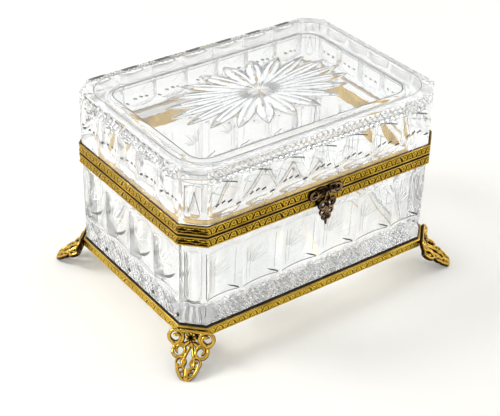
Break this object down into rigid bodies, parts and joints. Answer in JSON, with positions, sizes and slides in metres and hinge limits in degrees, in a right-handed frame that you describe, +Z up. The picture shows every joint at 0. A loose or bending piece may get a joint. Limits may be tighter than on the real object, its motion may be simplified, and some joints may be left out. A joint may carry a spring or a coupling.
{
  "type": "glass casket box",
  "caption": "Cut-crystal casket with canted corners, gilt brass rim bands, pierced scroll feet, a back-hinged star-cut lid and a hanging front clasp.",
  "frame": {"origin": "on the table under the middle of the box: the bottom centre of the box over all", "axes": "+Z up; X along the long front and back; +Y towards the hinged back, so the clasp faces -Y"},
  "size_m": [0.2234, 0.1634, 0.135],
  "materials": {
    "crystal": "clear cut lead crystal, polished",
    "gilt": "gilt, engraved, slightly worn",
    "cast_gilt": "cast, bright gilt with dark hollows",
    "dark_gilt": "darkened gilt",
    "screw_brass": "turned, plain",
    "plaster": "dry, chalky"
  },
  "bodies": {
    "casket": {"glass_body": "crystal", "body_rim_band": "gilt", "body_rim_bedding": "plaster", "base_frame": "gilt", "base_bedding": "plaster", "foot_front_left": "cast_gilt", "foot_front_right": "cast_gilt", "foot_back_right": "cast_gilt", "foot_back_left": "cast_gilt", "foot_screws": "screw_brass", "hinge_leaf_body": "gilt", "hinge_pin": "screw_brass", "catch_stud": "gilt"},
    "lid": {"glass_lid": "crystal", "lid_rim_band": "gilt", "lid_rim_bedding": "plaster", "hinge_leaf_lid": "gilt", "clasp_mount": "dark_gilt", "clasp_pin": "screw_brass"},
    "clasp": {"clasp_drop": "dark_gilt"}
  },
  "joints": [
    {"name": "lid_hinge", "type": "hinge", "parent": "casket", "child": "lid", "pos_m": [0, 0.0724, 0.0909], "axis": [-1, 0, 0], "range_deg": [0, 100]},
    {"name": "clasp_hinge", "type": "hinge", "parent": "lid", "child": "clasp", "pos_m": [0, -0.07225, 0.0953], "axis": [-1, 0, 0], "range_deg": [0, 140]}
  ]
}
